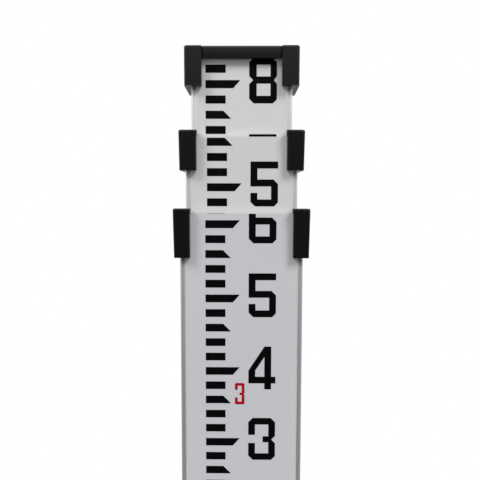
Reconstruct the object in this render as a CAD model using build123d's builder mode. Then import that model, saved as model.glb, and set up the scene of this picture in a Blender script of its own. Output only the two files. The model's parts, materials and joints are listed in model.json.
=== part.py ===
"""Telescopic leveling staff: three aluminium sections that slide inside each other.

Millimetres. Z is up and zero is under the foot plate, where the scale starts. X runs across the
printed face, seen from the front, and the face looks towards -Y. The staff is modelled closed,
with both lock buttons held in, as they are while a section slides.
"""
import os
from math import dist, hypot

from build123d import *

# Heights of the sections, closed and drawn out
lower_tube_top = 1100.0     # end of the lower tube
middle_rise = 31.0          # end of the middle tube above the lower one's, closed
cap_rise = 36.0             # top of the cap above the middle tube's end, closed
middle_reach = 2000.0       # end of the middle tube, drawn out
upper_reach = 3000.3        # top of the cap, both sections drawn out

# Tube extrusions
lower_width = 50.0
lower_depth = 26.5
tube_wall = 1.3
slide_gap = 0.95            # air between one tube and the next
tube_corner = 0.8
bore_corner = 0.6
rail_width = 1.95           # edge rail that guards the printed face
rail_bevel = 0.65
face_setback = 0.35         # printed face, behind the rails

# Collars on the lower and middle tubes, and the same wall on the cap
collar_wall = 2.65
collar_draft = 1.2          # degrees, narrower towards the ground
collar_corner = 1.1
collar_round = 0.8          # top edge
collar_fall = 1.1           # top of a collar, lower at the back so that water runs off
lower_lip = 4.2             # front lip, over the tube's front
middle_lip = 4.5
lip_round = 0.7
lower_rim = 2.2             # part of the collar above its tube's end
middle_rim = 2.6
rim_inset = 0.15            # rim, beyond the lip's inner edge
lower_skirt = 17.8
middle_skirt = 13.6

# Top cap
cap_height = 15.8
cap_draft = 0.1
cap_plate = 2.6
cap_leg = 4.35              # front leg, over the tube's front
bar_height = 5.0
bar_setback = 0.9
bar_bevel = 0.8
bar_bulge = 0.06            # front of the bar, slightly rounded
bar_groove = 0.5            # between the bar and each leg
groove_depth = 1.2
spigot_depth = 9.0
spigot_wall = 1.6

# Foot and guide plugs
foot_plate_thickness = 4.0
plate_chamfer = 0.6
foot_plug_height = 16.0
plug_flange = 5.0           # guide flange under the tube's end
plug_insert = 28.0
plug_corner = 1.0
pocket_floor = 3.0

# Lock buttons and their springs
nose_diameter = 12.0
nose_round = 1.0
nose_end = 2.2              # solid end of the hollow nose
nose_rest_proud = 0.1       # nose beyond its own tube, held in
nose_lock_proud = 0.6       # nose beyond the outer tube, locked
button_flange_diameter = 15.0
button_flange_thickness = 2.0
cup_diameter = 9.0
access_diameter = 16.0      # thumb hole over the upper button, closed
spring_wire = 0.6
spring_sides = 6            # the wire's section
spring_radius = 3.4         # to the middle of the wire
spring_pitch = 1.9

# Fasteners
rivet_diameter = 3.2
rivet_head_diameter = 6.0
rivet_head_height = 0.9
rivet_seat = 1.3            # plastic left under a head sunk in a collar
rivet_edge = 11.0           # from the tube's side
pin_diameter = 4.0
pin_length = 8.0
foot_rivet_length = 6.0
foot_screw_diameter = 4.2
foot_screw_head = 8.4
foot_screw_length = 14.0
foot_screw_edge = 12.0

# Clearances
seat_fit = 0.05             # pieces fixed to each other
guide_gap = 0.3             # collars and plugs that guide a sliding tube
button_gap = 0.25           # round the buttons
stop_gap = 0.1              # button flange to the tube when locked
head_gap = 0.4              # round a sunk rivet head

# Each tube fits inside the one below it
tube_step = 2 * (tube_wall + slide_gap)
middle_width = lower_width - tube_step
middle_depth = lower_depth - tube_step
upper_width = middle_width - tube_step
upper_depth = middle_depth - tube_step

middle_tube_top = lower_tube_top + middle_rise
cap_top = middle_tube_top + cap_rise
upper_tube_top = cap_top - cap_plate
middle_travel = middle_reach - middle_tube_top
upper_travel = upper_reach - middle_travel - cap_top

# The plugs stand on each other when the staff is closed
lower_tube_bottom = foot_plate_thickness
middle_plug_bottom = lower_tube_bottom + foot_plug_height
middle_tube_bottom = middle_plug_bottom + plug_flange
upper_plug_bottom = middle_tube_bottom + plug_insert
upper_tube_bottom = upper_plug_bottom + plug_flange
middle_button_height = middle_tube_bottom + plug_insert / 2
upper_button_height = upper_tube_bottom + plug_insert / 2
foot_rivet_height = lower_tube_bottom + foot_plug_height / 2
lower_collar_rivet_height = lower_tube_top - lower_skirt / 2
middle_collar_rivet_height = middle_tube_top - middle_skirt / 2
cap_rivet_height = upper_tube_top - spigot_depth / 2

nose_hole = nose_diameter + 2 * button_gap
rivet_hole = rivet_diameter + 2 * seat_fit
pin_hole = pin_diameter + 2 * seat_fit
button_travel = slide_gap + tube_wall + nose_lock_proud - nose_rest_proud
cut_margin = 1.0            # cuts run this far past the faces they open
edge_share = 0.75           # largest rounding, as a share of the corner or head it runs round
spring_samples = 400        # points along a spring, to measure the gap between its turns


def rivet_places(width, height):
    """The two rivets in the back of a collar or cap, as points (x, z)."""
    reach = width / 2 - rivet_edge
    return [(-reach, height), (reach, height)]


def section_tube(width, depth, bottom, top, side_hole, side_hole_height, back_holes):
    """Rectangular extrusion with its face behind two rails, drilled in the sides and the back."""
    rail_edge = width / 2 - rail_width
    face_edge = rail_edge - rail_bevel
    front = -depth / 2
    with BuildPart() as tube:
        with BuildSketch(Plane.XY.offset(bottom)):
            RectangleRounded(width, depth, tube_corner)
            with BuildLine():
                Polyline(
                    (-rail_edge, front),
                    (-face_edge, front + face_setback),
                    (face_edge, front + face_setback),
                    (rail_edge, front),
                    close=True,
                )
            make_face(mode=Mode.SUBTRACT)
            RectangleRounded(
                width - 2 * tube_wall,
                depth - 2 * tube_wall,
                bore_corner,
                mode=Mode.SUBTRACT,
            )
        extrude(amount=top - bottom)
        with BuildSketch(Plane.YZ):
            with Locations((0, side_hole_height)):
                Circle(side_hole / 2)
        extrude(amount=width, both=True, mode=Mode.SUBTRACT)
        with BuildSketch(Plane.XZ.offset(-depth / 2)):
            for place, diameter in back_holes:
                with Locations(place):
                    Circle(diameter / 2)
        extrude(amount=tube_wall + cut_margin, mode=Mode.SUBTRACT)
    return tube


def sunk_rivet_cut(width, depth, height):
    """What the two back rivets take out of a collar or cap: shank holes and head seats."""
    with BuildPart() as cut:
        with BuildSketch(Plane.XZ):
            with Locations(*rivet_places(width, height)):
                Circle(rivet_hole / 2)
        extrude(amount=-(depth / 2 + rivet_seat))
        with BuildSketch(Plane.XZ.offset(-depth / 2 - rivet_seat)):
            with Locations(*rivet_places(width, height)):
                Circle(rivet_head_diameter / 2 + head_gap)
        extrude(amount=-collar_wall)
    return cut


def guide_collar(width, depth, inner_width, inner_depth, lip, tube_end, rim, skirt, rivet_height):
    """Moulded collar round a tube's end: open in front, with two lips and a rim that guides."""
    outer_width = width + 2 * collar_wall
    outer_depth = depth + 2 * collar_wall
    opening = width - 2 * lip
    rim_opening = opening - 2 * rim_inset
    rivet_cut = sunk_rivet_cut(width, depth, rivet_height)
    with BuildPart() as collar:
        with BuildSketch(Plane.XY.offset(tube_end + rim)):
            RectangleRounded(outer_width, outer_depth, collar_corner)
        extrude(amount=-(rim + skirt), taper=collar_draft)
        with BuildSketch(Plane.YZ):
            with BuildLine():
                Polyline(
                    (-outer_depth / 2, tube_end + rim),
                    (outer_depth / 2, tube_end + rim - collar_fall),
                    (outer_depth / 2 + cut_margin, tube_end + rim - collar_fall),
                    (outer_depth / 2 + cut_margin, tube_end + rim + cut_margin),
                    (-outer_depth / 2, tube_end + rim + cut_margin),
                    close=True,
                )
            make_face()
        extrude(amount=outer_width, both=True, mode=Mode.SUBTRACT)
        top_edges = collar.faces().sort_by(Axis.Z)[-1].edges()
        fillet(top_edges, min(collar_round, edge_share * collar_corner))
        with BuildSketch(Plane.XY.offset(tube_end)):
            RectangleRounded(width + 2 * seat_fit, depth + 2 * seat_fit, tube_corner + seat_fit)
        extrude(amount=-(skirt + cut_margin), mode=Mode.SUBTRACT)
        with BuildSketch(Plane.XY.offset(tube_end)):
            RectangleRounded(
                inner_width + 2 * guide_gap,
                inner_depth + 2 * guide_gap,
                tube_corner + guide_gap,
            )
        extrude(amount=rim + cut_margin, mode=Mode.SUBTRACT)
        with BuildSketch(Plane.XZ):
            with Locations((0, tube_end)):
                Rectangle(opening, skirt + cut_margin, align=(Align.CENTER, Align.MAX))
                Rectangle(rim_opening, rim + cut_margin, align=(Align.CENTER, Align.MIN))
        extrude(amount=outer_depth, mode=Mode.SUBTRACT)
        lip_edges = collar.edges().filter_by(
            lambda edge: abs(abs(edge.center().X) - opening / 2) < seat_fit
            and edge.center().Y < -(depth + collar_wall) / 2
            and edge.length > skirt / 2
        )
        fillet(lip_edges, lip_round)
        add(rivet_cut.part, mode=Mode.SUBTRACT)
    return collar


def back_rivets(width, depth, height, grip):
    """Two drive rivets with sunk heads on the back; grip is the wall they pass under the seat."""
    back = Plane(origin=(0, depth / 2 + rivet_seat, height), x_dir=(1, 0, 0), z_dir=(0, 1, 0))
    with BuildPart(back) as rivets:
        with Locations(*[(x, 0) for x, _ in rivet_places(width, height)]):
            Cylinder(
                rivet_diameter / 2,
                rivet_seat + grip,
                align=(Align.CENTER, Align.CENTER, Align.MAX),
            )
            Cylinder(
                rivet_head_diameter / 2,
                rivet_head_height,
                align=(Align.CENTER, Align.CENTER, Align.MIN),
            )
        rims = rivets.edges().filter_by(GeomType.CIRCLE).group_by(Axis.Y)[-1]
        chamfer(rims, edge_share * rivet_head_height)
    return rivets


def guide_plug(width, depth, outer_width, outer_depth, bottom, button_height):
    """Plug in a tube's bottom end: a flange that guides, and a pocket for the lock button."""
    flange_width = outer_width - 2 * (tube_wall + guide_gap)
    flange_depth = outer_depth - 2 * (tube_wall + guide_gap)
    insert_width = width - 2 * (tube_wall + seat_fit)
    insert_depth = depth - 2 * (tube_wall + seat_fit)
    with BuildPart() as plug:
        with BuildSketch(Plane.XY.offset(bottom)):
            RectangleRounded(flange_width, flange_depth, plug_corner)
        extrude(amount=plug_flange)
        with BuildSketch(Plane.XY.offset(bottom + plug_flange)):
            RectangleRounded(insert_width, insert_depth, plug_corner)
        extrude(amount=plug_insert)
        with BuildSketch(Plane.XZ.offset(-insert_depth / 2)):
            with Locations((0, button_height)):
                Circle(button_flange_diameter / 2 + button_gap)
        extrude(amount=insert_depth - pocket_floor, mode=Mode.SUBTRACT)
        with BuildSketch(Plane.YZ.offset(width / 2 - pin_length)):
            with Locations((0, button_height)):
                Circle(pin_hole / 2)
        extrude(amount=pin_length, mode=Mode.SUBTRACT)
        with BuildSketch(Plane.YZ.offset(pin_length - width / 2)):
            with Locations((0, button_height)):
                Circle(pin_hole / 2)
        extrude(amount=-pin_length, mode=Mode.SUBTRACT)
    return plug


def side_pins(width, height):
    """Two plain pins, flush with the tube's sides, that hold its plug."""
    with BuildPart() as pins:
        with BuildSketch(Plane.YZ.offset(width / 2 - pin_length)):
            with Locations((0, height)):
                Circle(pin_diameter / 2)
        extrude(amount=pin_length - seat_fit)
        mirror(about=Plane.YZ)
    return pins


def button_faces(depth):
    """Along Y, at rest: front of the flange, end of the cup and tip of the nose."""
    back = depth / 2
    tip = back + nose_rest_proud
    flange_front = back - tube_wall - stop_gap - button_travel
    return flange_front, tip - nose_end, tip


def lock_button(depth, height):
    """Hollow button: a flange kept in by the tube's back, and a nose that locks the section."""
    flange_front, cup_end, tip = button_faces(depth)
    seat = Plane(origin=(0, flange_front, height), x_dir=(1, 0, 0), z_dir=(0, 1, 0))
    with BuildPart(seat) as button:
        Cylinder(
            button_flange_diameter / 2,
            button_flange_thickness,
            align=(Align.CENTER, Align.CENTER, Align.MAX),
        )
        Cylinder(
            nose_diameter / 2,
            tip - flange_front,
            align=(Align.CENTER, Align.CENTER, Align.MIN),
        )
        fillet(button.edges().group_by(Axis.Y)[-1], nose_round)
        with Locations((0, 0, -button_flange_thickness)):
            Cylinder(
                cup_diameter / 2,
                cup_end - flange_front + button_flange_thickness,
                align=(Align.CENTER, Align.CENTER, Align.MIN),
                mode=Mode.SUBTRACT,
            )
    return button


def lock_spring(depth, height, name):
    """Coil spring from the pocket's floor to the end of the button's cup, in half turns."""
    _, cup_end, _ = button_faces(depth)
    floor = -(depth / 2 - tube_wall - seat_fit) + pocket_floor
    start = floor + stop_gap + spring_wire / 2
    length = cup_end - stop_gap - spring_wire / 2 - start
    half_turns = 2 * round(length / spring_pitch)
    rise = length / half_turns
    arc_radius = hypot(spring_radius, rise / 2)
    ends = [
        Vector(spring_radius if turn % 2 == 0 else -spring_radius, start + turn * rise, height)
        for turn in range(half_turns + 1)
    ]
    with BuildPart() as spring:
        with BuildLine() as coil:
            for turn in range(half_turns):
                side = arc_radius if turn % 2 == 0 else -arc_radius
                middle = (ends[turn] + ends[turn + 1]) / 2 + Vector(0, 0, side)
                ThreePointArc(ends[turn], middle, ends[turn + 1])
        with BuildSketch(Plane(origin=ends[0], x_dir=(1, 0, 0), z_dir=(0, 0, 1))):
            RegularPolygon(spring_wire / 2, spring_sides)
        sweep(path=coil.wire(), clean=False)     # the half turns' faces stay apart
    points = [tuple(coil.wire() @ (step / spring_samples)) for step in range(spring_samples + 1)]
    half_turn_steps = spring_samples // half_turns
    gap = min(
        dist(point, other)
        for step, point in enumerate(points)
        for other in points[step + half_turn_steps:]
    ) - spring_wire
    print(f"{name}: {half_turns / 2:g} turns, least gap to itself {gap:.2f} mm")
    return spring


# Lower section: tube, foot and collar
lower_tube = section_tube(
    lower_width,
    lower_depth,
    lower_tube_bottom,
    lower_tube_top,
    rivet_hole,
    foot_rivet_height,
    [((0, middle_button_height), nose_hole)]
    + [((0, middle_button_height + middle_travel), nose_hole)]
    + [((0, upper_button_height), access_diameter)]
    + [(place, rivet_hole) for place in rivet_places(lower_width, lower_collar_rivet_height)],
)
lower_collar = guide_collar(
    lower_width,
    lower_depth,
    middle_width,
    middle_depth,
    lower_lip,
    lower_tube_top,
    lower_rim,
    lower_skirt,
    lower_collar_rivet_height,
)
lower_collar_rivets = back_rivets(
    lower_width, lower_depth, lower_collar_rivet_height, tube_wall
)

foot_screw_reach = lower_width / 2 - foot_screw_edge
screw_hole = foot_screw_diameter / 2 + seat_fit
screw_head_depth = (foot_screw_head - foot_screw_diameter) / 2
foot_plug_width = lower_width - 2 * (tube_wall + seat_fit)
foot_plug_depth = lower_depth - 2 * (tube_wall + seat_fit)

# The plate is the zero of the scale and takes the wear
with BuildPart() as foot_plate:
    with BuildSketch():
        RectangleRounded(lower_width, lower_depth, tube_corner)
    extrude(amount=foot_plate_thickness)
    chamfer(foot_plate.faces().sort_by(Axis.Z)[0].edges(), min(plate_chamfer, edge_share * tube_corner))
    with Locations(Plane(origin=(0, 0, 0), z_dir=(0, 0, -1))):
        with GridLocations(2 * foot_screw_reach, 0, 2, 1):
            CounterSinkHole(
                screw_hole,
                foot_screw_head / 2 + seat_fit,
                foot_plate_thickness,
                counter_sink_angle=90,
            )

with BuildPart() as foot_plug:
    with BuildSketch(Plane.XY.offset(lower_tube_bottom)):
        RectangleRounded(foot_plug_width, foot_plug_depth, plug_corner)
        with GridLocations(2 * foot_screw_reach, 0, 2, 1):
            Circle(screw_hole, mode=Mode.SUBTRACT)
    extrude(amount=foot_plug_height)
    with BuildSketch(Plane.YZ):
        with Locations((0, foot_rivet_height)):
            Circle(rivet_hole / 2)
    extrude(amount=lower_width, both=True, mode=Mode.SUBTRACT)

# Countersunk screws: profile turned about the screw's own axis
with BuildPart() as foot_screws:
    with BuildSketch(Plane.XZ):
        with BuildLine():
            Polyline(
                (foot_screw_reach, seat_fit),
                (foot_screw_reach + foot_screw_head / 2 - seat_fit, seat_fit),
                (foot_screw_reach + foot_screw_diameter / 2, seat_fit + screw_head_depth),
                (foot_screw_reach + foot_screw_diameter / 2, foot_screw_length),
                (foot_screw_reach, foot_screw_length),
                close=True,
            )
        make_face()
    revolve(axis=Axis((foot_screw_reach, 0, 0), (0, 0, 1)))
    mirror(about=Plane.YZ)

# Rivets with proud heads on the tube's sides, into the foot plug
with BuildPart(Plane(origin=(lower_width / 2, 0, foot_rivet_height), z_dir=(1, 0, 0))) as foot_rivets:
    Cylinder(
        rivet_diameter / 2,
        foot_rivet_length,
        align=(Align.CENTER, Align.CENTER, Align.MAX),
    )
    Cylinder(
        rivet_head_diameter / 2,
        rivet_head_height,
        align=(Align.CENTER, Align.CENTER, Align.MIN),
    )
    chamfer(foot_rivets.edges().group_by(Axis.X)[-1], edge_share * rivet_head_height)
    mirror(about=Plane.YZ)

# Middle section: tube, collar, plug, and the button that locks it to the lower tube
middle_tube = section_tube(
    middle_width,
    middle_depth,
    middle_tube_bottom,
    middle_tube_top,
    pin_hole,
    middle_button_height,
    [((0, middle_button_height), nose_hole)]
    + [((0, upper_button_height), nose_hole)]
    + [((0, upper_button_height + upper_travel), nose_hole)]
    + [(place, rivet_hole) for place in rivet_places(middle_width, middle_collar_rivet_height)],
)
middle_collar = guide_collar(
    middle_width,
    middle_depth,
    upper_width,
    upper_depth,
    middle_lip,
    middle_tube_top,
    middle_rim,
    middle_skirt,
    middle_collar_rivet_height,
)
middle_collar_rivets = back_rivets(
    middle_width, middle_depth, middle_collar_rivet_height, tube_wall
)
middle_plug = guide_plug(
    middle_width,
    middle_depth,
    lower_width,
    lower_depth,
    middle_plug_bottom,
    middle_button_height,
)
middle_plug_pins = side_pins(middle_width, middle_button_height)
middle_button = lock_button(middle_depth, middle_button_height)
middle_spring = lock_spring(middle_depth, middle_button_height, "middle_spring")

# Upper section: tube, plug, and the button that locks it to the middle tube
upper_tube = section_tube(
    upper_width,
    upper_depth,
    upper_tube_bottom,
    upper_tube_top,
    pin_hole,
    upper_button_height,
    [((0, upper_button_height), nose_hole)]
    + [(place, rivet_hole) for place in rivet_places(upper_width, cap_rivet_height)],
)
upper_plug = guide_plug(
    upper_width,
    upper_depth,
    middle_width,
    middle_depth,
    upper_plug_bottom,
    upper_button_height,
)
upper_plug_pins = side_pins(upper_width, upper_button_height)
upper_button = lock_button(upper_depth, upper_button_height)
upper_spring = lock_spring(upper_depth, upper_button_height, "upper_spring")

# The cap closes the upper tube: two front legs, a bar between them, and a spigot inside the tube
cap_width = upper_width + 2 * collar_wall
cap_depth = upper_depth + 2 * collar_wall
cap_front = -cap_depth / 2
leg_opening = upper_width - 2 * cap_leg
bar_front = cap_front + bar_setback
bar_bottom = cap_top - bar_height
bevel_foot = cap_top - bar_bevel
groove_reach = (leg_opening - bar_groove) / 2
spigot_width = upper_width - 2 * (tube_wall + seat_fit)
spigot_thick = upper_depth - 2 * (tube_wall + seat_fit)
cap_rivet_cut = sunk_rivet_cut(upper_width, upper_depth, cap_rivet_height)
with BuildPart() as top_cap:
    with BuildSketch(Plane.XY.offset(cap_top)):
        RectangleRounded(cap_width, cap_depth, collar_corner)
    extrude(amount=-cap_height, taper=cap_draft)
    fillet(
        top_cap.faces().sort_by(Axis.Z)[-1].edges(),
        min(collar_round, edge_share * collar_corner),
    )
    with BuildSketch(Plane.XY.offset(upper_tube_top)):
        RectangleRounded(
            upper_width + 2 * seat_fit,
            upper_depth + 2 * seat_fit,
            tube_corner + seat_fit,
        )
    extrude(amount=-cap_height, mode=Mode.SUBTRACT)
    with BuildSketch(Plane.XZ):
        with Locations((0, bar_bottom)):
            Rectangle(leg_opening, cap_height, align=(Align.CENTER, Align.MAX))
    extrude(amount=cap_depth, mode=Mode.SUBTRACT)
    with BuildSketch(Plane.YZ):
        with BuildLine():
            ThreePointArc(
                (bar_front, bar_bottom),
                (bar_front - bar_bulge, (bar_bottom + bevel_foot) / 2),
                (bar_front, bevel_foot),
            )
            Polyline(
                (bar_front, bevel_foot),
                (bar_front + bar_bevel, cap_top),
                (bar_front + bar_bevel, cap_top + cut_margin),
                (cap_front - cut_margin, cap_top + cut_margin),
                (cap_front - cut_margin, bar_bottom - cut_margin),
                (bar_front, bar_bottom - cut_margin),
                (bar_front, bar_bottom),
            )
        make_face()
    extrude(amount=leg_opening / 2, both=True, mode=Mode.SUBTRACT)
    with BuildSketch(Plane.XY.offset(bar_bottom - cut_margin)):
        with Locations((-groove_reach, cap_front), (groove_reach, cap_front)):
            Rectangle(bar_groove, 2 * (bar_setback + groove_depth))
    extrude(amount=bar_height + 2 * cut_margin, mode=Mode.SUBTRACT)
    with BuildSketch(Plane.XY.offset(upper_tube_top)):
        RectangleRounded(spigot_width, spigot_thick, plug_corner)
        Rectangle(
            spigot_width - 2 * spigot_wall,
            spigot_thick - 2 * spigot_wall,
            mode=Mode.SUBTRACT,
        )
    extrude(amount=-spigot_depth)
    add(cap_rivet_cut.part, mode=Mode.SUBTRACT)
top_cap_rivets = back_rivets(
    upper_width, upper_depth, cap_rivet_height, tube_wall + spigot_wall
)

pieces = {
    "lower_tube": lower_tube,
    "foot_plug": foot_plug,
    "foot_plate": foot_plate,
    "foot_screws": foot_screws,
    "foot_rivets": foot_rivets,
    "lower_collar": lower_collar,
    "lower_collar_rivets": lower_collar_rivets,
    "middle_tube": middle_tube,
    "middle_plug": middle_plug,
    "middle_plug_pins": middle_plug_pins,
    "middle_button": middle_button,
    "middle_spring": middle_spring,
    "middle_collar": middle_collar,
    "middle_collar_rivets": middle_collar_rivets,
    "upper_tube": upper_tube,
    "upper_plug": upper_plug,
    "upper_plug_pins": upper_plug_pins,
    "upper_button": upper_button,
    "upper_spring": upper_spring,
    "top_cap": top_cap,
    "top_cap_rivets": top_cap_rivets,
}
os.makedirs("parts", exist_ok=True)
for name, piece in pieces.items():
    piece.part.label = name
    export_step(piece.part, f"parts/{name}.step")

print(f"closed height {cap_top:.1f}, middle travel {middle_travel:.1f}, upper travel {upper_travel:.1f}")
print(f"button travel {button_travel:.2f}")
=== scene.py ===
import json
import math

import bmesh
import bpy
from mathutils import Matrix, Vector

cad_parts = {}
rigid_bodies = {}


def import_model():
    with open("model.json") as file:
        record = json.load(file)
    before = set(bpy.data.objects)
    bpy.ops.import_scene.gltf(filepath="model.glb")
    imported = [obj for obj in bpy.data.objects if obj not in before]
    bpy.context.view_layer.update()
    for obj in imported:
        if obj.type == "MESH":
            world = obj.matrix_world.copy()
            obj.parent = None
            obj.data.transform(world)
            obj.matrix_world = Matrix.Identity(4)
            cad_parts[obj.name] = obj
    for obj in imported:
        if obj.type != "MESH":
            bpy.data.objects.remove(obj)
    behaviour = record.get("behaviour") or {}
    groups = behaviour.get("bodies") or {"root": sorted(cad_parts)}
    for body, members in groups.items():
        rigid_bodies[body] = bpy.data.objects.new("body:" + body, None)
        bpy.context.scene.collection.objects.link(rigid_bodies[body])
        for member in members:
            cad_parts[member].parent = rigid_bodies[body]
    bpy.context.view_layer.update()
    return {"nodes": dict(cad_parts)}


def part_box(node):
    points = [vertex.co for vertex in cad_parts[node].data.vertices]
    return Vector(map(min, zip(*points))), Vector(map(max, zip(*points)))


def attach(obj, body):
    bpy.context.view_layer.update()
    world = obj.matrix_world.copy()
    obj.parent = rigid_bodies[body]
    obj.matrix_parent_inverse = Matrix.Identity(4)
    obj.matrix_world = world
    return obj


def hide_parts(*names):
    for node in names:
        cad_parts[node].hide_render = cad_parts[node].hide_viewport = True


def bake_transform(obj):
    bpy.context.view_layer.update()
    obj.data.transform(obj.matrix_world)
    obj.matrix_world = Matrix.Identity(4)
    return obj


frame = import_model()

# Section tubes
# Each section is a rectangular aluminium extrusion, satin anodised, with two rails on its front
# edges that guard the printed face. The tubes differ in tone, the middle one lightest: this is
# painted reflection, set to how bright each tube's rails look.
mm = 0.001
sections = ("lower", "middle", "upper")
join_distance = 0.002 * mm
smooth_angle = math.radians(38.0)


def to_linear(colour):
    """Linear RGBA of an sRGB hex colour."""
    values = [int(colour[i:i + 2], 16) / 255 for i in (1, 3, 5)]
    return [v / 12.92 if v <= 0.04045 else ((v + 0.055) / 1.055) ** 2.4 for v in values] + [1.0]


def add_node(tree, kind, inputs=None, **settings):
    """Adds a node with its settings; an input is a value, or an output socket to link."""
    node = tree.nodes.new(kind)
    for name, value in settings.items():
        setattr(node, name, value)
    for name, value in (inputs or {}).items():
        if isinstance(value, bpy.types.NodeSocket):
            tree.links.new(value, node.inputs[name])
        else:
            node.inputs[name].default_value = value
    return node


def new_material(name):
    """An empty node material and its tree."""
    material = bpy.data.materials.new(name)
    material.use_nodes = True
    material.node_tree.nodes.clear()
    return material, material.node_tree


def place_piece(name, mesh):
    """A mesh as an object of the scene, at the origin."""
    piece = bpy.data.objects.new(name, mesh)
    bpy.context.scene.collection.objects.link(piece)
    return piece


def smooth_copy(node):
    """Copy of a CAD node with its triangles joined, so that its rounded edges shade smoothly."""
    source = frame["nodes"][node].data
    mesh = bpy.data.meshes.new(node + "_piece")
    mesh.from_pydata([v.co for v in source.vertices], [], [f.vertices[:] for f in source.polygons])
    joined = bmesh.new()
    joined.from_mesh(mesh)
    bmesh.ops.remove_doubles(joined, verts=joined.verts, dist=join_distance)
    joined.to_mesh(mesh)
    joined.free()
    mesh.shade_smooth()
    mesh.set_sharp_from_angle(angle=smooth_angle)
    piece = place_piece(node + "_piece", mesh)
    piece.modifiers.new("flat_faces_stay_flat", "WEIGHTED_NORMAL").keep_sharp = True
    return piece


def fit(piece, material, slot, body, *nodes):
    """Gives a piece its material and seats it on its body; its slot is not used."""
    piece.data.materials.clear()
    piece.data.materials.append(material)
    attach(piece, body)
    if nodes:
        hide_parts(*nodes)


def streaks(tree, sizes):
    """Noise drawn out to these sizes along X, Y and Z, fixed to the piece."""
    place = add_node(tree, "ShaderNodeTexCoord")
    drawn = add_node(tree, "ShaderNodeMapping", {
        "Vector": place.outputs["Object"], "Scale": [1 / size for size in sizes],
    })
    return add_node(tree, "ShaderNodeTexNoise", {
        "Vector": drawn.outputs["Vector"], "Scale": 1.0, "Detail": 3.0,
    }).outputs["Fac"]


def tones(tree, share, low, high):
    """Colour between two sRGB tones, by its share of the second."""
    return add_node(tree, "ShaderNodeMixRGB", {
        "Fac": share, "Color1": to_linear(low), "Color2": to_linear(high),
    }).outputs["Color"]


def between(tree, share, low, high):
    """Value between two limits, by its share of the way."""
    return add_node(tree, "ShaderNodeMapRange", {
        "Value": share, "To Min": low, "To Max": high,
    }).outputs["Result"]


def relief(tree, height, strength, depth):
    """Normal of a fine relief, with that strength and depth."""
    return add_node(tree, "ShaderNodeBump", {
        "Height": height, "Strength": strength, "Distance": depth,
    }).outputs["Normal"]


def surface(tree, inputs):
    """Gives a material its surface, with these inputs."""
    shader = add_node(tree, "ShaderNodeBsdfPrincipled", inputs)
    add_node(tree, "ShaderNodeOutputMaterial", {"Surface": shader.outputs["BSDF"]})


def anodised_aluminium(name, tone_low, tone_high):
    """Soft reflections, drawn out along the staff by the fine lines that the die leaves."""
    die_line = 0.35 * mm
    die_run = 90 * mm
    die_depth = 0.004 * mm
    material, tree = new_material(name)
    lines = streaks(tree, (die_line, die_line, die_run))
    surface(tree, {
        "Base Color": tones(tree, lines, tone_low, tone_high),
        "Metallic": 1.0,
        "Roughness": between(tree, lines, 0.52, 0.62),
        "Normal": relief(tree, lines, 0.2, die_depth),
    })
    return material


# Painted reflection: each tube's metal gets its own tones, so that its rails come out as bright as
# they look.
aluminium = anodised_aluminium("satin_anodised_aluminium", "#d1d2d3", "#dcddde")
tube_metals = {
    "lower": aluminium,
    "middle": anodised_aluminium("middle_aluminium_painted_reflection", "#dcddde", "#e8e9ea"),
    "upper": anodised_aluminium("upper_aluminium_painted_reflection", "#d6d7d8", "#e1e2e3"),
}
for section in sections:
    node = section + "_tube"
    fit(smooth_copy(node), tube_metals[section], "tube_aluminium", section, node)

# White coats
# Baked enamel on the front of each tube, between the rails, from one end of the tube to the other.
# It is the ground for the scale, a little behind the rails so that they take the wear.
rail_width = 1.95 * mm
rail_bevel = 0.65 * mm
face_setback = 0.35 * mm
coat_thickness = 0.06 * mm


def coat_shape(name, low, high):
    """Mesh of a tube's coat: over the face and up the rails' bevels, where it thins out."""
    rail_edge = high.x - rail_width
    face_edge = rail_edge - rail_bevel
    back = low.y + face_setback
    front = back - coat_thickness
    profile = [
        (-rail_edge, low.y), (-face_edge, front), (face_edge, front), (rail_edge, low.y),
        (face_edge, back), (-face_edge, back),
    ]
    count = len(profile)
    corners = [(x, y, z) for z in (low.z, high.z) for x, y in profile]
    sides = [(i, (i + 1) % count, (i + 1) % count + count, i + count) for i in range(count)]
    ends = [range(count - 1, -1, -1), range(count, 2 * count)]
    mesh = bpy.data.meshes.new(name)
    mesh.from_pydata(corners, [], sides + ends)
    return mesh


def flat_shape(outlines, front, thickness):
    """Mesh of a flat layer: closed outlines in (x, z), holes too, with its front at y = front."""
    curve = bpy.data.curves.new("outline", "CURVE")
    curve.dimensions = "2D"
    curve.fill_mode = "BOTH"
    curve.extrude = thickness / 2
    for outline in outlines:
        spline = curve.splines.new("POLY")
        spline.points.add(len(outline) - 1)
        for point, (x, z) in zip(spline.points, outline):
            point.co = (x, z, 0, 1)
        spline.use_cyclic_u = True
    flat = bpy.data.objects.new("outline", curve)
    mesh = bpy.data.meshes.new_from_object(flat)
    bpy.data.objects.remove(flat)
    bpy.data.curves.remove(curve)
    solid = bmesh.new()
    solid.from_mesh(mesh)
    bmesh.ops.remove_doubles(solid, verts=solid.verts, dist=join_distance)
    flat_faces = [f for f in solid.faces if len({v.co.z for v in f.verts}) == 1]
    inner_edges = [e for e in solid.edges if all(f in flat_faces for f in e.link_faces)]
    bmesh.ops.beautify_fill(solid, faces=flat_faces, edges=inner_edges)
    bmesh.ops.recalc_face_normals(solid, faces=solid.faces)
    solid.to_mesh(mesh)
    solid.free()
    middle = Matrix.Translation((0, front + thickness / 2, 0))
    mesh.transform(middle @ Matrix.Rotation(math.pi / 2, 4, "X"))
    return mesh


def noise(tree, size, detail):
    """Noise of that size and fineness, fixed to the piece."""
    place = add_node(tree, "ShaderNodeTexCoord")
    return add_node(tree, "ShaderNodeTexNoise", {
        "Vector": place.outputs["Object"], "Scale": 1 / size, "Detail": detail,
    }).outputs["Fac"]


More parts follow.
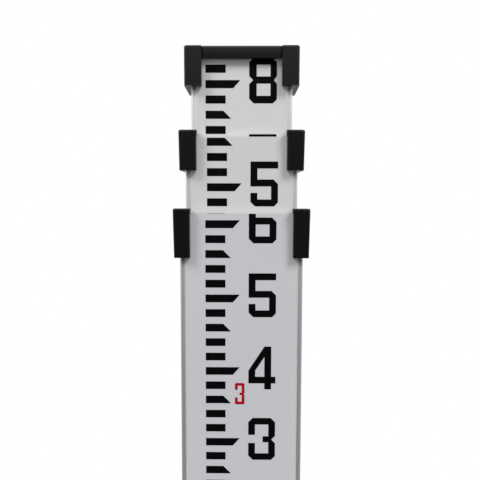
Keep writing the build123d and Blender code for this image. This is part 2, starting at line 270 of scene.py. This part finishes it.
def baked_enamel(name, tone_low, tone_high):
    """White stoved paint: satin, faintly rippled by the spraying and slightly uneven."""
    ripple = 2.2 * mm
    ripple_depth = 0.004 * mm
    cloud = 60 * mm
    material, tree = new_material(name)
    surface(tree, {
        "Base Color": tones(tree, noise(tree, cloud, 2.0), tone_low, tone_high),
        "Roughness": 0.42,
        "Normal": relief(tree, noise(tree, ripple, 1.0), 0.15, ripple_depth),
    })
    return material


# Each coat has its own tones. The upper one's lighter tone is painted light and the lower one's
# darker tone is painted shade. The lower one's cooler hue is taken as another batch of paint.
enamels = {
    "lower": baked_enamel("lower_cool_enamel_painted_shade", "#c1c1c5", "#c6c6c9"),
    "middle": baked_enamel("white_enamel", "#c8c8c9", "#cdcdcd"),
    "upper": baked_enamel("upper_enamel_painted_light", "#cbcbcc", "#d0d0d0"),
}
coat_front = {}
for section in sections:
    low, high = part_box(section + "_tube")
    coat_front[section] = low.y + face_setback - coat_thickness
    name = section + "_coat"
    fit(place_piece(name, coat_shape(name, low, high)), enamels[section], "white_coat", section)

# Graduation bars
# Screen-printed in black on the enamel: in each tenth of a foot one long bar with a cut end whose
# top is the tenth, one spur whose underside is the half tenth, and three short bars.
foot = 304.8 * mm
tenth = foot / 10
line = tenth / 10
bar_left = -14.66 * mm
short_right = -6.66 * mm
long_right = (-0.74 * mm, -3.62 * mm)
spur_right = (-7.59 * mm, -4.42 * mm)
long_top = 0
spur_top = 4
short_tops = (2, 6, 8)
ink_spread = 0.08 * mm
ink_thickness = 0.04 * mm
middle_reach = 869.0 * mm
upper_reach = middle_reach + 964.3 * mm
scale_drop = {"lower": 0.0, "middle": middle_reach, "upper": upper_reach}
print_shift = {"lower": 0.05 * mm, "middle": 0.67 * mm, "upper": 0.05 * mm}
first_tenth = {"lower": 1, "middle": 36, "upper": 65}
tenths_printed = 37


def row_tree():
    """Node tree that sets shapes of a collection in a row, and the identifiers of its inputs."""
    tree = bpy.data.node_groups.new("row_of_shapes", "GeometryNodeTree")
    inputs = {
        "Shapes": "NodeSocketCollection",
        "Shape count": "NodeSocketInt",
        "First shape": "NodeSocketInt",
        "Count": "NodeSocketInt",
        "Start": "NodeSocketVector",
        "Step": "NodeSocketVector",
        "Material": "NodeSocketMaterial",
    }
    keys = {}
    for name, kind in inputs.items():
        keys[name] = tree.interface.new_socket(name, in_out="INPUT", socket_type=kind).identifier
    tree.interface.new_socket("Geometry", in_out="OUTPUT", socket_type="NodeSocketGeometry")
    given = add_node(tree, "NodeGroupInput").outputs
    points = add_node(tree, "GeometryNodeMeshLine", {
        "Count": given["Count"], "Start Location": given["Start"], "Offset": given["Step"],
    })
    shapes = add_node(tree, "GeometryNodeCollectionInfo", {
        "Collection": given["Shapes"], "Separate Children": True, "Reset Children": True,
    })
    number = add_node(tree, "GeometryNodeInputIndex")
    counted = add_node(tree, "ShaderNodeMath", {
        0: number.outputs["Index"], 1: given["First shape"],
    }, operation="ADD")
    pick = add_node(tree, "ShaderNodeMath", {
        0: counted.outputs["Value"], 1: given["Shape count"],
    }, operation="MODULO")
    copies = add_node(tree, "GeometryNodeInstanceOnPoints", {
        "Points": points.outputs["Mesh"],
        "Instance": shapes.outputs["Instances"],
        "Pick Instance": True,
        "Instance Index": pick.outputs["Value"],
    })
    solid = add_node(tree, "GeometryNodeRealizeInstances", {
        "Geometry": copies.outputs["Instances"],
    })
    coated = add_node(tree, "GeometryNodeSetMaterial", {
        "Geometry": solid.outputs["Geometry"], "Material": given["Material"],
    })
    add_node(tree, "NodeGroupOutput", {"Geometry": coated.outputs["Geometry"]})
    return tree, keys


def row_of(name, meshes, count, start, step, material, first=0):
    """Piece with copies of the meshes in a row; copy n is mesh (first + n), counted round."""
    shapes = bpy.data.collections.new(name + "_shapes")
    for number, mesh in enumerate(meshes):
        shapes.objects.link(bpy.data.objects.new(f"{name}_shape_{number}", mesh))
    holder = place_piece(name + "_row", bpy.data.meshes.new(name + "_row"))
    row = holder.modifiers.new("row", "NODES")
    row.node_group = row_nodes
    values = {
        "Shapes": shapes,
        "Shape count": len(meshes),
        "First shape": first,
        "Count": count,
        "Start": start,
        "Step": step,
        "Material": material,
    }
    for key, value in values.items():
        row[row_keys[key]] = value
    graph = bpy.context.evaluated_depsgraph_get()
    mesh = bpy.data.meshes.new_from_object(holder.evaluated_get(graph), depsgraph=graph)
    mesh.name = name
    for shape in list(shapes.objects):
        bpy.data.objects.remove(shape)
    bpy.data.collections.remove(shapes)
    bpy.data.objects.remove(holder)
    return place_piece(name, mesh)


def trim(piece, low, high):
    """Cuts a piece off at two heights, as the tube's ends cut the print, and closes the cuts."""
    solid = bmesh.new()
    solid.from_mesh(piece.data)
    for height, side in ((low, -1), (high, 1)):
        bmesh.ops.bisect_plane(
            solid,
            geom=solid.verts[:] + solid.edges[:] + solid.faces[:],
            plane_co=(0, 0, height),
            plane_no=(0, 0, side),
            clear_outer=True,
        )
        bmesh.ops.holes_fill(solid, edges=[e for e in solid.edges if e.is_boundary])
    solid.to_mesh(piece.data)
    solid.free()


def print_row(section, name, meshes, count, height, step, ink, slot, first=0):
    """Prints a row of the meshes on a section, from that reading of its scale up, within its tube."""
    low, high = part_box(section + "_tube")
    start = (print_shift[section], 0, height - scale_drop[section])
    row = row_of(section + name, meshes, count, start, (0, 0, step), ink, first)
    trim(row, low.z, high.z)
    fit(row, ink, slot, section)


def screen_ink(name, colour):
    """Printing ink on enamel: flat colour, duller than the coat, thinning a little in the mesh."""
    mesh_mark = 0.5 * mm
    material, tree = new_material(name)
    surface(tree, {
        "Base Color": to_linear(colour),
        "Roughness": between(tree, noise(tree, mesh_mark, 1.0), 0.5, 0.62),
        "Specular IOR Level": 0.04,
    })
    return material


def bar(right_top, right_bottom, top):
    """Outline of one bar, a line high, with its top that many lines under the tenth. Ink spreads."""
    high = -top * line + ink_spread
    low = -(top + 1) * line - ink_spread
    left = bar_left - ink_spread
    return [
        (left, low), (right_bottom + ink_spread, low), (right_top + ink_spread, high), (left, high),
    ]


row_nodes, row_keys = row_tree()
black_ink = screen_ink("black_screen_ink", "#060608")
tenth_bars = [bar(*long_right, long_top), bar(*spur_right, spur_top)]
tenth_bars += [bar(short_right, short_right, top) for top in short_tops]
ink_front = {section: coat_front[section] - ink_thickness for section in sections}
for section in sections:
    bars = flat_shape(tenth_bars, ink_front[section], ink_thickness)
    lowest = first_tenth[section]
    print_row(
        section, "_bars", [bars], tenths_printed, lowest * tenth, tenth, black_ink, "black_ink",
    )

# Numerals
# The same print: black tenths centred on their lines, a larger red numeral on each full foot, and
# small red repeats of the foot between the bars and the tenths. Squared shapes with cut corners.

# A size is a numeral's width, height, stroke and corner cut.
tenth_size = (11.19 * mm, 18.15 * mm, 2.8 * mm, 1.85 * mm)
foot_size = (14.5 * mm, 24.0 * mm, 3.4 * mm, 2.5 * mm)
repeat_size = (3.95 * mm, 9.1 * mm, 1.12 * mm, 0.45 * mm)
tenth_left = 2.94 * mm
tenth_drop = {"lower": 0.2 * mm, "middle": 0.2 * mm, "upper": 0.1 * mm}
repeat_left = -2.64 * mm
repeat_drop = 0.5 * mm
repeat_lines = (35, 65)
first_foot = {"lower": 1, "middle": 4, "upper": 7}
feet_printed = 3


def numeral_outlines(width, height, stroke, cut):
    """Outlines of the numerals 0 to 9, each from its lower left corner, with that cut at corners."""
    w, h, s = width, height, stroke
    left, right = s, w - s
    floor, roof = s, h - s
    under, over = (h - s) / 2, (h + s) / 2
    low_hook, high_hook = 2.6 * s, h - 2.6 * s
    low_tip, high_tip = 1.96 * s, h - 1.96 * s
    heel = 0.86 * cut
    waist = 0.86 * cut
    bowl = [(left, floor), (right, floor), (right, under), (left, under)]
    zero = [
        [
            (cut, 0), (w - heel, 0), (w, heel), (w, h - cut), (w - cut, h), (cut, h), (0, h - cut),
            (0, cut),
        ],
        [(left, floor), (right, floor), (right, roof), (left, roof)],
    ]
    post = (w - s) / 2
    flag = 1.2 * s
    one = [[
        (post, 0), (post + s, 0), (post + s, h), (post, h), (post - s, roof), (post - s, roof - flag),
        (post, h - flag),
    ]]
    two = [[
        (0, 0), (w, 0), (w, floor), (left, floor), (left, under), (w - cut, under),
        (w, under + cut), (w, h - cut), (w - cut, h), (cut, h), (0, h - cut), (0, high_hook),
        (left, high_hook), (left, roof), (right, roof), (right, over), (cut, over), (0, over - cut),
    ]]
    sag = 0.014 * h
    nick = h / 2 - sag
    arm = right - 0.84 * s
    three = [[
        (cut, 0), (w - heel, 0), (w, heel), (w, nick - waist), (w - waist, nick), (w, nick + waist),
        (w, h - cut), (w - cut, h), (cut, h), (0, h - cut), (0, high_hook), (left, high_hook),
        (left, roof), (right, roof), (right, over - sag), (arm, over - sag), (arm, under),
        (right, under), (right, floor), (left, floor), (left, low_hook), (0, low_hook), (0, cut),
    ]]
    stem = 0.59 * w
    tail = 0.14 * h
    shoulder = 0.44 * h
    peak = 0.76 * h
    four = [
        [
            (stem, 0), (stem + s, 0), (stem + s, tail), (w, tail), (w, tail + s),
            (stem + s, tail + s), (stem + s, h), (stem, h), (0, shoulder), (0, tail), (stem, tail),
        ],
        [(left, tail + s), (stem, tail + s), (stem, peak), (left, shoulder)],
    ]
    lift = 0.024 * h
    five = [[
        (cut, 0), (w - heel, 0), (w, heel), (w, over + lift - cut), (w - cut, over + lift),
        (left, over + lift), (left, roof), (w, roof), (w, h), (0, h), (0, under + lift),
        (right, under + lift), (right, floor), (left, floor), (left, low_tip), (0, low_tip), (0, cut),
    ]]
    six = [
        [
            (cut, 0), (w - heel, 0), (w, heel), (w, over - cut), (w - cut, over), (left, over),
            (left, roof), (right, roof), (right, high_tip), (w, high_tip), (w, h - cut), (w - cut, h),
            (cut, h), (0, h - cut), (0, cut),
        ],
        bowl,
    ]
    leg = 0.24 * w
    knee, hip = 0.26 * h, 0.66 * h
    slant = 0.04 * h
    seven = [[
        (leg, 0), (leg + s, 0), (leg + s, knee), (w, hip), (w, h), (0, h), (0, roof), (right, roof),
        (right, hip + slant), (leg, knee + slant),
    ]]
    rise = 0.011 * h
    pinch = h / 2 + rise
    nip = 0.66 * cut
    aside = 0.02 * w
    eight = [
        [
            (cut, 0), (w - heel, 0), (w, heel), (w, pinch - waist), (w - nip, pinch),
            (w, pinch + waist), (w, h - cut), (w - cut, h), (cut, h), (0, h - cut),
            (0, pinch + waist), (waist, pinch), (0, pinch - waist), (0, cut),
        ],
        [(x + aside, z + rise) for x, z in bowl],
        [
            (left + aside, over + rise), (right + aside, over + rise), (right + aside, roof),
            (left + aside, roof),
        ],
    ]
    nine = [[(w - x, h - z) for x, z in outline] for outline in six]
    return zero, one, two, three, four, five, six, seven, eight, nine


def numerals(size, left, bottom, front):
    """Meshes of the numerals 0 to 9 with that left edge, standing that far from their line."""
    placed = []
    for outlines in numeral_outlines(*size):
        moved = [[(left + x, bottom + z) for x, z in outline] for outline in outlines]
        placed.append(flat_shape(moved, front, ink_thickness))
    return placed


red_ink = screen_ink("red_screen_ink", "#9e0a1c")
foot_left = tenth_left + (tenth_size[0] - foot_size[0]) / 2
foot_base = -foot_size[1] / 2
for section in sections:
    front = ink_front[section]
    tenth_base = -tenth_size[1] / 2 - tenth_drop[section]
    bare_foot = [bpy.data.meshes.new("bare_foot")]
    black_set = bare_foot + numerals(tenth_size, tenth_left, tenth_base, front)[1:]
    lowest = first_tenth[section]
    print_row(
        section, "_tenth_numerals", black_set, tenths_printed, lowest * tenth, tenth, black_ink,
        "black_ink", lowest,
    )
    red_set = numerals(foot_size, foot_left, foot_base, front)
    lowest = first_foot[section]
    print_row(
        section, "_foot_numerals", red_set, feet_printed, lowest * foot, foot, red_ink,
        "red_ink", lowest,
    )
    for repeat in repeat_lines:
        small_set = numerals(repeat_size, repeat_left, -repeat_drop, front)
        height = lowest * foot + repeat * line
        print_row(
            section, f"_foot_repeats_{repeat}", small_set, feet_printed, height, foot, red_ink,
            "red_ink", lowest,
        )

# Foot plate
# A steel plate under the lower tube, the zero of the scale and what stands on the ground. It is
# zinc plated, brushed along its length, and scuffed by use.


def zinc_plated_steel():
    """Cool grey plating with fine brushing, broken by duller scuffs."""
    brush = 0.3 * mm
    stroke_run = 12 * mm
    stroke_depth = 0.01 * mm
    scuff = 6 * mm
    material, tree = new_material("zinc_plated_steel")
    worn = noise(tree, scuff, 5.0)
    surface(tree, {
        "Base Color": tones(tree, worn, "#a9adb2", "#c6c9cc"),
        "Metallic": 1.0,
        "Roughness": between(tree, worn, 0.28, 0.55),
        "Normal": relief(tree, streaks(tree, (stroke_run, brush, brush)), 0.3, stroke_depth),
    })
    return material


zinc = zinc_plated_steel()
fit(smooth_copy("foot_plate"), zinc, "plate_steel", "lower", "foot_plate")

# Plugs and pins
# Plugs moulded in dark nylon close the bottom ends of the tubes. The foot's takes the plate's screws,
# and the other two guide their sections and hold the locks. Plain aluminium pins fix these two.


def moulded_nylon():
    """Glass-filled nylon, grey black and dull, mottled by the fibre."""
    fibre = 1.2 * mm
    fibre_depth = 0.02 * mm
    material, tree = new_material("moulded_nylon")
    mottle = noise(tree, fibre, 4.0)
    surface(tree, {
        "Base Color": tones(tree, mottle, "#2b2c2e", "#3a3b3d"),
        "Roughness": 0.6,
        "Normal": relief(tree, mottle, 0.3, fibre_depth),
    })
    return material


nylon = moulded_nylon()
for node in ("foot_plug", "middle_plug", "upper_plug"):
    frame["nodes"][node].material_slots[0].material = nylon
for node in ("middle_plug_pins", "upper_plug_pins"):
    frame["nodes"][node].material_slots[0].material = aluminium

# Foot screws
# Two countersunk steel screws with a cross recess, up through the plate into the foot plug. Their
# heads lie just inside the plate's underside.
recess_span = 4.6 * mm
recess_wing = 1.1 * mm
recess_depth = 1.5 * mm
recess_turn = 20.0
turn_steps = 48


def turned(profile):
    """Mesh of a profile of (radius, height), from its lower to its upper pole, turned about Z."""
    corners, rings, faces = [], [], []
    for radius, height in profile:
        count = turn_steps if radius > join_distance else 1
        rings.append(range(len(corners), len(corners) + count))
        for step in range(count):
            angle = 2 * math.pi * step / turn_steps
            corners.append((radius * math.cos(angle), radius * math.sin(angle), height))
    for ring, following in zip(rings, rings[1:]):
        for step in range(turn_steps):
            around = (ring, step), (ring, step + 1), (following, step + 1), (following, step)
            face = [points[number % len(points)] for points, number in around]
            faces.append(list(dict.fromkeys(face)))
    mesh = bpy.data.meshes.new("turned")
    mesh.from_pydata(corners, [], faces)
    mesh.shade_smooth()
    mesh.set_sharp_from_angle(angle=smooth_angle)
    return mesh


def cut_out(mesh, cutter):
    """The mesh with the cutter's shape taken out of it."""
    blank = place_piece("blank", mesh)
    tool = place_piece("cutter", cutter)
    cut = blank.modifiers.new("cut", "BOOLEAN")
    cut.operation = "DIFFERENCE"
    cut.solver = "EXACT"
    cut.object = tool
    graph = bpy.context.evaluated_depsgraph_get()
    result = bpy.data.meshes.new_from_object(blank.evaluated_get(graph), depsgraph=graph)
    result.set_sharp_from_angle(angle=smooth_angle)
    bpy.data.objects.remove(blank)
    bpy.data.objects.remove(tool)
    return result


low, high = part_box("foot_screws")
screw_head = (high.y - low.y) / 2
screw_reach = high.x - screw_head
screw_shank = screw_head / 2
screw_blank = turned([
    (0, low.z),
    (screw_head, low.z),
    (screw_shank, low.z + screw_head - screw_shank),
    (screw_shank, high.z),
    (0, high.z),
])
wing, span = recess_wing / 2, recess_span / 2
cross = [
    (wing, wing), (span, wing), (span, -wing), (wing, -wing), (wing, -span), (-wing, -span),
    (-wing, -wing), (-span, -wing), (-span, wing), (-wing, wing), (-wing, span), (wing, span),
]
recess = flat_shape([cross], -recess_depth, 2 * recess_depth)
recess.transform(
    Matrix.Translation((0, 0, low.z))
    @ Matrix.Rotation(math.radians(recess_turn), 4, "Z")
    @ Matrix.Rotation(-math.pi / 2, 4, "X")
)
screws = row_of(
    "foot_screws_piece",
    [cut_out(screw_blank, recess)],
    2,
    (-screw_reach, 0, 0),
    (2 * screw_reach, 0, 0),
    zinc,
)
fit(screws, zinc, "screw_steel", "lower", "foot_screws")

# Lock buttons
# A hollow button in each guide plug, moulded in black acetal. A flange keeps it in the tube, and
# its dished nose snaps through the outer tube's back to hold the section closed or drawn out.
nose_radius = 6.0 * mm
nose_round = 1.0 * mm
flange_thickness = 2.0 * mm
cup_radius = 4.5 * mm
nose_end = 2.2 * mm
dish_radius = 4.2 * mm
dish_depth = 0.5 * mm
arc_steps = 8


def arc(centre, radius, start, end):
    """Points of an arc, as (radius, height) for a turned profile; angles in degrees."""
    turns = [math.radians(start + (end - start) * i / arc_steps) for i in range(arc_steps + 1)]
    return [(centre[0] + radius * math.cos(a), centre[1] + radius * math.sin(a)) for a in turns]


def lay(mesh, height, quarters, axis):
    """Turns a mesh by quarters about an axis and lifts it to that height."""
    turn = Matrix.Rotation(quarters * math.pi / 2, 4, axis)
    mesh.transform(Matrix.Translation((0, 0, height)) @ turn)


def acetal():
    """Moulded acetal: black, smooth and slightly waxy."""
    swirl = 3 * mm
    material, tree = new_material("black_acetal")
    surface(tree, {
        "Base Color": to_linear("#1c1d1f"),
        "Roughness": between(tree, noise(tree, swirl, 2.0), 0.3, 0.42),
    })
    return material


black_acetal = acetal()
for section in sections[1:]:
    node = section + "_button"
    low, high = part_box(node)
    flange_radius = (high.x - low.x) / 2
    seat = low.y + flange_thickness
    tip = high.y
    dish_curve = (dish_radius ** 2 + dish_depth ** 2) / (2 * dish_depth)
    dish_angle = math.degrees(math.asin(dish_radius / dish_curve))
    dish = arc((0, tip - dish_depth + dish_curve), dish_curve, dish_angle - 90, -90)
    profile = [
        (0, tip - nose_end),
        (cup_radius, tip - nose_end),
        (cup_radius, low.y),
        (flange_radius, low.y),
        (flange_radius, seat),
        (nose_radius, seat),
        *arc((nose_radius - nose_round, tip - nose_round), nose_round, 0, 90),
        *dish,
    ]
    mesh = turned(profile)
    lay(mesh, (low.z + high.z) / 2, -1, "X")
    fit(place_piece(node + "_piece", mesh), black_acetal, "button_plastic", node, node)

# Lock springs
# A coil of spring steel wire behind each button, from the floor of the plug's pocket to the end of
# the button's cup. In use it lengthens as the button moves out; here it is one fixed coil.
wire_radius = 0.3 * mm
wire_facets = 3
coil_pitch = 1.9 * mm
points_per_turn = 24


def spring_wire():
    """Drawn spring steel: grey, smooth along the wire, with faint drawing marks."""
    mark = 0.4 * mm
    material, tree = new_material("spring_steel_wire")
    surface(tree, {
        "Base Color": to_linear("#a4a6a9"),
        "Metallic": 1.0,
        "Roughness": between(tree, noise(tree, mark, 2.0), 0.25, 0.4),
    })
    return material


steel_wire = spring_wire()
for section in sections[1:]:
    node = section + "_spring"
    low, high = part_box(node)
    middle_height = (low.z + high.z) / 2
    coil_radius = (high.x - low.x) / 2 - wire_radius
    start, end = low.y + wire_radius, high.y - wire_radius
    turns = round((end - start) / coil_pitch)
    count = turns * points_per_turn
    curve = bpy.data.curves.new(node, "CURVE")
    curve.dimensions = "3D"
    curve.bevel_depth = wire_radius
    curve.bevel_resolution = wire_facets
    curve.use_fill_caps = True
    spline = curve.splines.new("POLY")
    spline.points.add(count)
    for number, point in enumerate(spline.points):
        angle = 2 * math.pi * number / points_per_turn
        point.co = (
            coil_radius * math.cos(angle),
            start + (end - start) * number / count,
            middle_height + coil_radius * math.sin(angle),
            1,
        )
    coil = bpy.data.objects.new(node, curve)
    mesh = bpy.data.meshes.new_from_object(coil)
    bpy.data.objects.remove(coil)
    bpy.data.curves.remove(curve)
    mesh.shade_smooth()
    mesh.materials.clear()
    mesh.materials.append(steel_wire)
    piece = place_piece(node + "_piece", mesh)
    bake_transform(piece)
    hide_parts(node)

# Collars and top cap
# Moulded in black ABS. Each collar grips a tube's top end with two front lips and a rim that guides
# the next tube, and the cap closes the upper tube with two legs and a bar between them.
# Each moulding has its own black, lightest on the cap, and a greyer tone on its frontmost faces:
# painted reflection.
mouldings = {
    "lower_collar": ("lower", "#0e0f11", "#0f1012"),
    "middle_collar": ("middle", "#101113", "#121315"),
    "top_cap": ("upper", "#121213", "#1b1b1c"),
}


def moulded_abs(name, colour, front_sheen_tone, front):
    """Black ABS from a spark-eroded mould: dull and finely grained, its frontmost faces painted
    greyer as a sheen.
    """
    grain = 0.45 * mm
    grain_depth = 0.01 * mm
    sheen_start = 0.2 * mm
    sheen_end = 0.7 * mm
    material, tree = new_material(name)
    place = add_node(tree, "ShaderNodeTexCoord")
    spot = add_node(tree, "ShaderNodeSeparateXYZ", {"Vector": place.outputs["Object"]})
    # Painted sheen: faces within a fraction of a millimetre of the front take the greyer tone.
    front_sheen_mask = add_node(tree, "ShaderNodeMapRange", {
        "Value": spot.outputs["Y"], "From Min": front + sheen_start, "From Max": front + sheen_end,
    })
    texture = noise(tree, grain, 2.0)
    surface(tree, {
        "Base Color": tones(tree, front_sheen_mask.outputs["Result"], front_sheen_tone, colour),
        "Roughness": between(tree, texture, 0.26, 0.34),
        "Specular IOR Level": 0.3,
        "Normal": relief(tree, texture, 0.15, grain_depth),
    })
    return material


for node, (body, colour, front_sheen_tone) in mouldings.items():
    low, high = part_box(node)
    black_abs = moulded_abs("black_abs_" + node, colour, front_sheen_tone, low.y)
    fit(smooth_copy(node), black_abs, "collar_plastic", body, node)

# Rivets
# Aluminium blind rivets with a domed head and the broken end of the mandrel in the middle. Two are
# sunk in the back of each collar and of the cap, and two hold the foot plug from the tube's sides.
mandrel_radius = 0.9 * mm
mandrel_sink = 0.25 * mm
rivet_head_height = 0.9 * mm
head_edge = 0.25 * mm
shank_radius = 1.6 * mm
foot_shank = 6.0 * mm
back_rivets = {
    "lower_collar_rivets": "lower",
    "middle_collar_rivets": "middle",
    "top_cap_rivets": "upper",
}


def rivet(head_radius, top, seat, end):
    """Rivet along Z: domed head from seat to top, and a shank down to its end."""
    rise = top - seat - head_edge
    curve = (head_radius ** 2 + rise ** 2) / (2 * rise)
    edge_angle = math.degrees(math.acos(head_radius / curve))
    hole_angle = math.degrees(math.acos(mandrel_radius / curve))
    dome = arc((0, top - curve), curve, edge_angle, hole_angle)
    return turned([
        (0, end),
        (shank_radius, end),
        (shank_radius, seat),
        (head_radius, seat),
        *dome,
        (mandrel_radius, dome[-1][1] - mandrel_sink),
        (0, dome[-1][1] - mandrel_sink / 2),
    ])


for node, body in back_rivets.items():
    low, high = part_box(node)
    head_radius = (high.z - low.z) / 2
    reach = high.x - head_radius
    mesh = rivet(head_radius, high.y, high.y - rivet_head_height, low.y)
    lay(mesh, (low.z + high.z) / 2, -1, "X")
    pair = row_of(node + "_piece", [mesh], 2, (-reach, 0, 0), (2 * reach, 0, 0), aluminium)
    fit(pair, aluminium, "rivet_aluminium", body, node)

low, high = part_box("foot_rivets")
head_radius = (high.z - low.z) / 2
seat = high.x - rivet_head_height
side_meshes = []
for quarter in (-1, 1):
    mesh = rivet(head_radius, high.x, seat, seat - foot_shank)
    lay(mesh, (low.z + high.z) / 2, quarter, "Y")
    side_meshes.append(mesh)
side_pair = row_of("foot_rivets_piece", side_meshes, 2, (0, 0, 0), (0, 0, 0), aluminium)
fit(side_pair, aluminium, "rivet_aluminium", "lower", "foot_rivets")

# Studio
# A pale floor that fades into a white background, and soft lamps far off: one high on either side
# and a wide fill in front. A grey card behind the camera darkens what the face mirrors.
floor_reach = 1.5
floor_fade = (0.6, 1.4)
card_reach = (1.2, 0.6, 1.4)
ambient_level = 0.2
ground_fade = (-0.22, -0.03)
ground_level = 0.25
lamps = {
    "left_lamp": {"place": (-3.72, -2.4, 4.2), "spread": 22.0, "level": 0.27},
    "right_lamp": {"place": (2.64, -2.4, 3.84), "spread": 22.0, "level": 0.37},
    "front_fill": {"place": (0, -2.4, 0.72), "spread": 60.0, "level": 0.15},
}
camera_place = (1.456 * mm, -227.873 * mm, 1107.707 * mm)
camera_pitch = 0.08529
camera_yaw = -0.00952
camera_roll = 0.00158
camera_near = 10 * mm
focal_pixels = 531.18
picture_pixels = 480
sensor = 36.0


def direct_rays(tree):
    """1 for a ray from the camera, off a mirror or through glass, and 0 for the others."""
    path = add_node(tree, "ShaderNodeLightPath")
    seen = add_node(tree, "ShaderNodeMath", {
        0: path.outputs["Is Camera Ray"], 1: path.outputs["Is Glossy Ray"],
    }, operation="MAXIMUM")
    shown = add_node(tree, "ShaderNodeMath", {
        0: seen.outputs["Value"], 1: path.outputs["Is Transmission Ray"],
    }, operation="MAXIMUM")
    return shown.outputs["Value"]


def pale_floor():
    """Matt pale grey board that thins out to the background, and throws little light back up."""
    grain = 4 * mm
    material, tree = new_material("pale_board")
    board_tone = add_node(tree, "ShaderNodeMixRGB", {
        "Fac": direct_rays(tree),
        "Color1": to_linear("#6a6a6a"),
        "Color2": tones(tree, noise(tree, grain, 2.0), "#d8d8d8", "#dedede"),
    })
    shader = add_node(tree, "ShaderNodeBsdfPrincipled", {
        "Base Color": board_tone.outputs["Color"], "Roughness": 0.8, "Specular IOR Level": 0.1,
    })
    place = add_node(tree, "ShaderNodeTexCoord")
    reach = add_node(tree, "ShaderNodeVectorMath", {0: place.outputs["Object"]}, operation="LENGTH")
    faded = add_node(tree, "ShaderNodeMapRange", {
        "Value": reach.outputs["Value"], "From Min": floor_fade[0], "From Max": floor_fade[1],
    }, interpolation_type="SMOOTHSTEP")
    clear = add_node(tree, "ShaderNodeBsdfTransparent")
    thinned = add_node(tree, "ShaderNodeMixShader", {
        0: faded.outputs["Result"], 1: shader.outputs["BSDF"], 2: clear.outputs["BSDF"],
    })
    add_node(tree, "ShaderNodeOutputMaterial", {"Surface": thinned.outputs["Shader"]})
    return material


def grey_card():
    """Matt mid grey board."""
    material, tree = new_material("grey_board")
    surface(tree, {"Base Color": to_linear("#3c3c3c"), "Roughness": 0.9, "Specular IOR Level": 0.0})
    return material


def board(name, corners, material):
    """Flat board with these four corners."""
    mesh = bpy.data.meshes.new(name)
    mesh.from_pydata(corners, [], [range(len(corners))])
    mesh.materials.append(material)
    return place_piece(name, mesh)


def soft_lamp(name, place, spread, level):
    """Lamp far off in that direction; its spread is in degrees, its level is that on the face."""
    lamp = bpy.data.lights.new(name, "SUN")
    lamp.angle = math.radians(spread)
    towards = Vector(place).normalized()
    lamp.energy = level * math.pi / -towards.y
    stand = bpy.data.objects.new(name, lamp)
    bpy.context.scene.collection.objects.link(stand)
    stand.location = place
    stand.rotation_mode = "QUATERNION"
    stand.rotation_quaternion = (-towards).to_track_quat("-Z", "Y")


reach = floor_reach
floor_corners = [(-reach, -reach, 0), (reach, -reach, 0), (reach, reach, 0), (-reach, reach, 0)]
board("floor", floor_corners, pale_floor())

side, front, top = card_reach
card_corners = [(-side, -front, 0), (-side, -front, top), (side, -front, top), (side, -front, 0)]
card = board("card", card_corners, grey_card())
card.visible_camera = False
card.visible_diffuse = False
card.visible_shadow = False

world = bpy.data.worlds.new("studio")
world.use_nodes = True
bpy.context.scene.world = world
tree = world.node_tree
tree.nodes.clear()
ambient = add_node(tree, "ShaderNodeBackground", {
    "Color": to_linear("#fdfeff"), "Strength": ambient_level,
})
look = add_node(tree, "ShaderNodeTexCoord")
height = add_node(tree, "ShaderNodeSeparateXYZ", {"Vector": look.outputs["Generated"]})
ground = add_node(tree, "ShaderNodeMapRange", {
    "Value": height.outputs["Z"],
    "From Min": ground_fade[0],
    "From Max": ground_fade[1],
    "To Min": ground_level,
    "To Max": 1.0,
})
path = add_node(tree, "ShaderNodeLightPath")
bright = add_node(tree, "ShaderNodeMath", {
    0: path.outputs["Is Camera Ray"], 1: ground.outputs["Result"],
}, operation="MAXIMUM")
white = add_node(tree, "ShaderNodeBackground", {
    "Color": to_linear("#ffffff"), "Strength": bright.outputs["Value"],
})
mixed = add_node(tree, "ShaderNodeMixShader", {
    0: direct_rays(tree), 1: ambient.outputs["Background"], 2: white.outputs["Background"],
})
add_node(tree, "ShaderNodeOutputWorld", {"Surface": mixed.outputs["Shader"]})

for name, settings in lamps.items():
    soft_lamp(name, **settings)

forward = Vector((
    math.sin(camera_yaw) * math.cos(camera_pitch),
    math.cos(camera_yaw) * math.cos(camera_pitch),
    -math.sin(camera_pitch),
))
across = Vector((math.cos(camera_yaw), -math.sin(camera_yaw), 0))
right = math.cos(camera_roll) * across + math.sin(camera_roll) * across.cross(forward)
upward = right.cross(forward)
lens = bpy.data.cameras.new("camera")
lens.sensor_width = sensor
lens.lens = sensor * focal_pixels / picture_pixels
lens.clip_start = camera_near
camera = bpy.data.objects.new("camera", lens)
bpy.context.scene.collection.objects.link(camera)
aim = Matrix((right, upward, -forward)).transposed().to_4x4()
camera.matrix_world = Matrix.Translation(camera_place) @ aim
bpy.context.scene.camera = camera
bpy.context.scene.view_settings.view_transform = "Standard"
